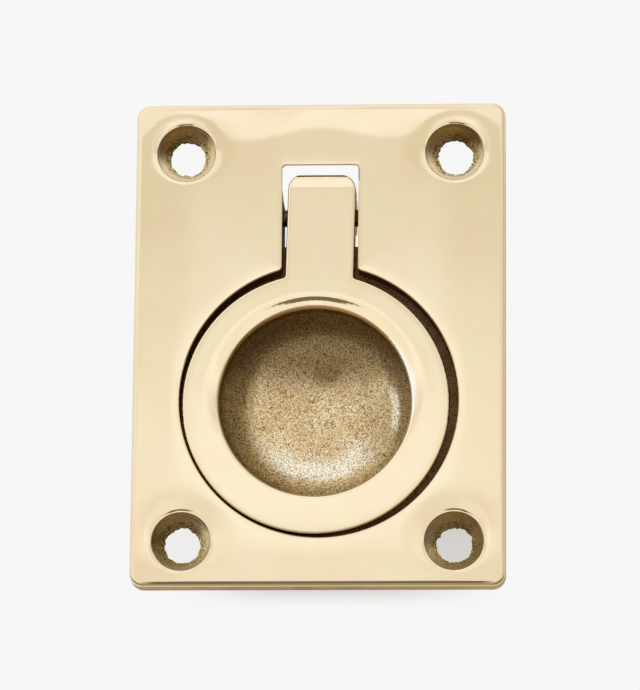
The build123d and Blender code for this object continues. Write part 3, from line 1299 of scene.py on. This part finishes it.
@dataclass
class Studio:
    """A camera where the photographer stood, a white sheet and a light tent."""

    camera_place: tuple[float, float, float] = (35.58, -155.78, 620.48)
    camera_turn: tuple[float, float, float] = (-0.2471, -0.0556, 0.0053)
    lens: float = 260.87
    floor_height: float = -6.1
    floor_half: float = 900.0
    paper: float = 0.94
    strength: float = 1.085

    def camera(self) -> None:
        """Sets the camera from the rotation about X, then Y, then Z that the photograph gave."""
        data = bpy.data.cameras.new("camera")
        data.sensor_width = 36.0
        data.lens = self.lens
        data.clip_start, data.clip_end = 0.01, 20.0
        made = linked("camera", data)
        rx, ry, rz = (Matrix.Rotation(a, 3, axis) for a, axis in zip(self.camera_turn, "XYZ"))
        turned = (rz @ ry @ rx).transposed().to_4x4()
        made.matrix_world = Matrix.Translation(Vector(self.camera_place) * MM) @ turned
        bpy.context.scene.camera = made

    def floor(self) -> None:
        """A white sheet under the casting that shows white, and shows its rendered shadow only in painted
        patches.
        """
        half, low = self.floor_half * MM, self.floor_height * MM
        mesh = bpy.data.meshes.new("floor")
        corners = [(-half, -half, low), (half, -half, low), (half, half, low), (-half, half, low)]
        mesh.from_pydata(corners, [], [(0, 1, 2, 3)])
        made = linked("floor", mesh)
        paper = bpy.data.materials.new("white_paper")
        graph = Graph.emptied(paper)
        white = (self.paper, self.paper, self.paper, 1.0)
        lit = graph.node("ShaderNodeBsdfDiffuse", {"Color": white})
        shown = graph.node("ShaderNodeEmission", {"Color": white, "Strength": 1.0})
        rays = graph.node("ShaderNodeLightPath", None, "Is Camera Ray")
        glossy, through = rays.output("Is Glossy Ray"), rays.output("Is Transmission Ray")
        x, y, _ = graph.split(graph.place())
        # Painted patches where the sheet shows its rendered shadow: under the plate, stronger to the right,
        # and in a strip along its lower edge; under the slot it is drawn brighter, a painted brightening.
        near = y.step(-12.0, -21.0) * y.step(-29.5, -26.5) * x.near(0.0, 20.0, 24.5)
        shade = near * (0.1 + x.step(-4.0, 20.0) * 0.3)
        shade = shade + y.step(-32.4, -29.8) * y.step(-27.0, -28.0) * x.near(2.0, 6.0, 22.0) * 0.32
        shade = shade - y.step(14.0, 19.0) * y.step(32.0, 26.0) * x.near(0.0, 6.0, 13.0) * 0.07
        past = y.step(24.0, 34.0) | x.step(-22.0, -30.0)
        seen = (rays | through | glossy * (0.08 + past * 0.9)) * (0.97 - shade)
        sheet = graph.node("ShaderNodeMixShader", {0: seen, 1: lit, 2: shown})
        clear = graph.node("ShaderNodeBsdfTransparent")
        below = graph.node("ShaderNodeNewGeometry", None, "Backfacing")
        both = graph.node("ShaderNodeMixShader", {0: below, 1: sheet, 2: clear})
        graph.node("ShaderNodeOutputMaterial", {"Surface": both})
        mesh.materials.append(paper)

    def world(self) -> None:
        """The light tent: bright overhead and to the left, dim low down, with a dark lens opening."""
        world = bpy.data.worlds.new("light_tent")
        bpy.context.scene.world = world
        graph = Graph.emptied(world)
        x, y, z = graph.split(graph.node("ShaderNodeTexCoord", None, "Generated"))
        lean_x, lean_y = (side.math("ARCTAN2", z) * (180 / math.pi) for side in (x, y))
        low, grey = (0.48, 0.42, 0.33), (0.5, 0.48, 0.45)
        dim, ivory = (0.90, 0.88, 0.83), (0.94, 0.92, 0.88)
        up_down = [(-180.0, low), (-90.0, low), (-70.0, (0.45, 0.38, 0.28)), (-50.0, (0.40, 0.32, 0.22))]
        up_down += [(-32.0, (0.44, 0.36, 0.25)), (-27.0, (0.55, 0.53, 0.50)), (-23.0, 0.94), (-10.0, 1.0)]
        up_down += [(84.0, 1.0), (92.0, 0.9), (110.0, grey), (180.0, (0.3, 0.28, 0.25))]
        seams = [(0.0, (0.92, 0.90, 0.87)), (5.0, dim), (10.6, dim), (11.5, (0.965, 0.945, 0.90))]
        seams += [(12.3, 1.0), (13.6, (0.99, 0.985, 0.97)), (14.4, (0.90, 0.89, 0.86))]
        seams += [(15.4, (0.84, 0.82, 0.77)), (16.2, (0.81, 0.78, 0.70)), (18.35, (0.80, 0.77, 0.69))]
        seams += [(18.5, 0.98), (24.0, 1.0)]
        margins = [(-12.0, ivory), (-5.4, ivory), (-4.7, 1.0), (-1.9, 1.0), (-1.3, ivory), (6.0, ivory)]
        left_right = [(-180.0, grey), (-90.0, (0.7, 0.68, 0.65)), (-78.0, 1.0), (-48.0, 1.0), (-42.0, 1.15)]
        left_right += [(-33.0, 1.15), (-25.0, 1.0), (10.0, 1.0), (22.0, (0.96, 0.95, 0.92))]
        left_right += [(32.0, (0.88, 0.86, 0.81)), (45.0, (0.70, 0.67, 0.60)), (90.0, (0.62, 0.59, 0.53))]
        left_right += [(180.0, grey)]
        glow = self._ramp(graph, lean_y, up_down)
        for angle, stops in ((lean_y, seams), (lean_x, margins), (lean_x, left_right)):
            both = {0: 1.0, 6: glow, 7: self._ramp(graph, angle, stops)}
            glow = graph.node("ShaderNodeMix", both, 2, data_type="RGBA", blend_type="MULTIPLY")
        lens = lean_x.near(-3.3, 4.8, 6.2) * lean_y.near(-2.6, 4.5, 5.5) * z.step(0.0, 0.1)
        glow = graph.mix(lens * 0.93, glow, (0.11, 0.085, 0.045))
        rays = graph.node("ShaderNodeLightPath", None, "Is Camera Ray")
        tent = graph.node("ShaderNodeBackground", {"Color": glow, "Strength": self.strength})
        white = (self.paper, self.paper, self.paper, 1.0)
        plain = graph.node("ShaderNodeBackground", {"Color": white, "Strength": 1.0})
        both = graph.node("ShaderNodeMixShader", {0: rays, 1: tent, 2: plain})
        graph.node("ShaderNodeOutputWorld", {"Surface": both})

    @staticmethod
    def _ramp(graph: Graph, angle: Signal, stops: list[tuple[float, Any]]) -> Signal:
        """A colour that follows an angle in degrees, from its first stop to its last.

        Args:
            graph: the world's graph.
            angle: the angle.
            stops: the colour at each of some angles, or a number for a grey.

        Returns:
            The colour.
        """
        low, span = stops[0][0], stops[-1][0] - stops[0][0]
        colours = [shade if isinstance(shade, tuple) else (shade,) * 3 for _, shade in stops]
        placed = [((stop[0] - low) / span, colour) for stop, colour in zip(stops, colours)]
        return graph.node("ShaderNodeValToRGB", {0: (angle - low) / span}, "Color", stops=placed)

    def build(self) -> None:
        """Sets the camera, the floor and the light."""
        bpy.context.scene.view_settings.view_transform = "Standard"
        self.camera()
        self.floor()
        self.world()
        log.info("studio: camera, floor and light tent")


def main() -> None:
    """Builds the studio and the three pieces of the pull."""
    logging.basicConfig(level=logging.INFO, format="%(name)s: %(message)s")
    Studio().build()
    for piece in (PlateCasting(), RingPull(), HingePin()):
        piece.build()


if __name__ == "__main__":
    main()
